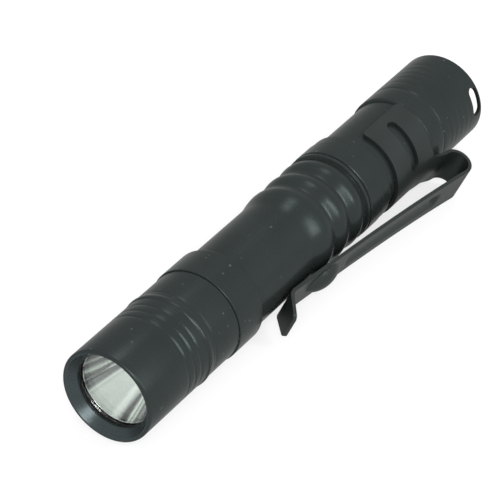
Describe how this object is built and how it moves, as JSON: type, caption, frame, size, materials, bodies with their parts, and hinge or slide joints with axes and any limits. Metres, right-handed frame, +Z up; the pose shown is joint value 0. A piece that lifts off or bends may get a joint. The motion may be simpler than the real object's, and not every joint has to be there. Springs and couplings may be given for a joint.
{
  "type": "penlight",
  "caption": "Slim black metal penlight for one small cell, with a screw-on head and tail, a rubber tail push switch and a sprung steel pocket clip.",
  "frame": {"origin": "centre of the tail face, on the light's axis", "axes": "+X along the light's axis, from the tail to the lens, the way the beam points; +Z up with the light lying on its side and the clip on the +Y side, turned a little down, just above what the light lies on"},
  "size_m": [0.092, 0.0206, 0.0152],
  "materials": {
    "anodised": "satin black anodised, fine turning lines",
    "clip_steel": "spring steel sheet, satin black coating",
    "boot_rubber": "soft matt black rubber",
    "seal_rubber": "smooth black rubber",
    "lens_glass": "clear polished glass",
    "reflector_bright": "smooth bright metallised bowl",
    "led_ceramic": "white ceramic base",
    "led_phosphor": "clear silicone dome over yellow phosphor",
    "white_plastic": "plain white moulding",
    "star_metal": "metal-core board, white solder mask",
    "pill_brass": "turned brass",
    "circuit_board": "green glass-fibre board",
    "chip_plastic": "black moulding",
    "wire_plastic": "insulated lead",
    "cell_steel": "nickel plated steel",
    "cell_film": "plain dark film",
    "cell_mass": "pressed powder and gel",
    "cell_plastic": "nylon seal",
    "washer_steel": "stamped steel",
    "spring_steel": "plated spring wire"
  },
  "bodies": {
    "tube": {"body_tube": "anodised", "front_o_ring": "seal_rubber", "rear_o_ring": "seal_rubber"},
    "cell": {"cell_can": "cell_steel", "cell_wrapper": "cell_film", "cell_core": "cell_mass", "cell_seal": "cell_plastic", "cell_end_plate": "cell_steel"},
    "tail": {"tail_cap": "anodised", "boot_flange": "boot_rubber", "boot_washer": "washer_steel", "switch_housing": "chip_plastic", "switch_board": "circuit_board", "retaining_ring": "pill_brass", "contact_spring": "spring_steel"},
    "button": {"switch_boot": "boot_rubber", "switch_plunger": "white_plastic", "switch_spring": "spring_steel"},
    "clip": {"clip_band": "clip_steel"},
    "clip_spring": {"clip_arm": "clip_steel"},
    "lens_pack": {"lens": "lens_glass", "lens_seal": "seal_rubber", "reflector": "reflector_bright"},
    "head": {"head_shell": "anodised", "led_ring": "white_plastic", "led_package": "led_ceramic", "led_dome": "led_phosphor", "star_board": "star_metal", "pill": "pill_brass", "lead_wires": "wire_plastic", "driver_board": "circuit_board", "driver_parts": "chip_plastic", "driver_contact": "pill_brass"}
  },
  "joints": [
    {"name": "tail_draw", "type": "slide", "parent": "tube", "child": "cell", "axis": [-1, 0, 0], "range_m": [0, 0.004]},
    {"name": "tail_turn", "type": "hinge", "parent": "cell", "child": "tail", "pos_m": [0, 0, 0], "axis": [-1, 0, 0], "range_deg": [0, 1480]},
    {"name": "head_draw", "type": "slide", "parent": "tube", "child": "lens_pack", "axis": [1, 0, 0], "range_m": [0, 0.004]},
    {"name": "head_turn", "type": "hinge", "parent": "lens_pack", "child": "head", "pos_m": [0.08, 0, 0], "axis": [1, 0, 0], "range_deg": [0, 1480]},
    {"name": "button_press", "type": "slide", "parent": "tail", "child": "button", "axis": [1, 0, 0], "range_m": [0, 0.0016], "stiffness_N_per_m": 1500},
    {"name": "clip_swivel", "type": "hinge", "parent": "tail", "child": "clip", "pos_m": [0.02, 0, 0], "axis": [1, 0, 0], "continuous": true},
    {"name": "clip_flex", "type": "hinge", "parent": "clip", "child": "clip_spring", "pos_m": [0.01327, 0.00953, -0.00347], "axis": [0, 0.342, 0.9397], "range_deg": [0, 7], "stiffness_Nm_per_rad": 2}
  ],
  "couplings": [
    {"joint": "tail_turn", "follows": "tail_draw", "rad_per_m": 6283.2},
    {"joint": "head_turn", "follows": "head_draw", "rad_per_m": 6283.2}
  ]
}
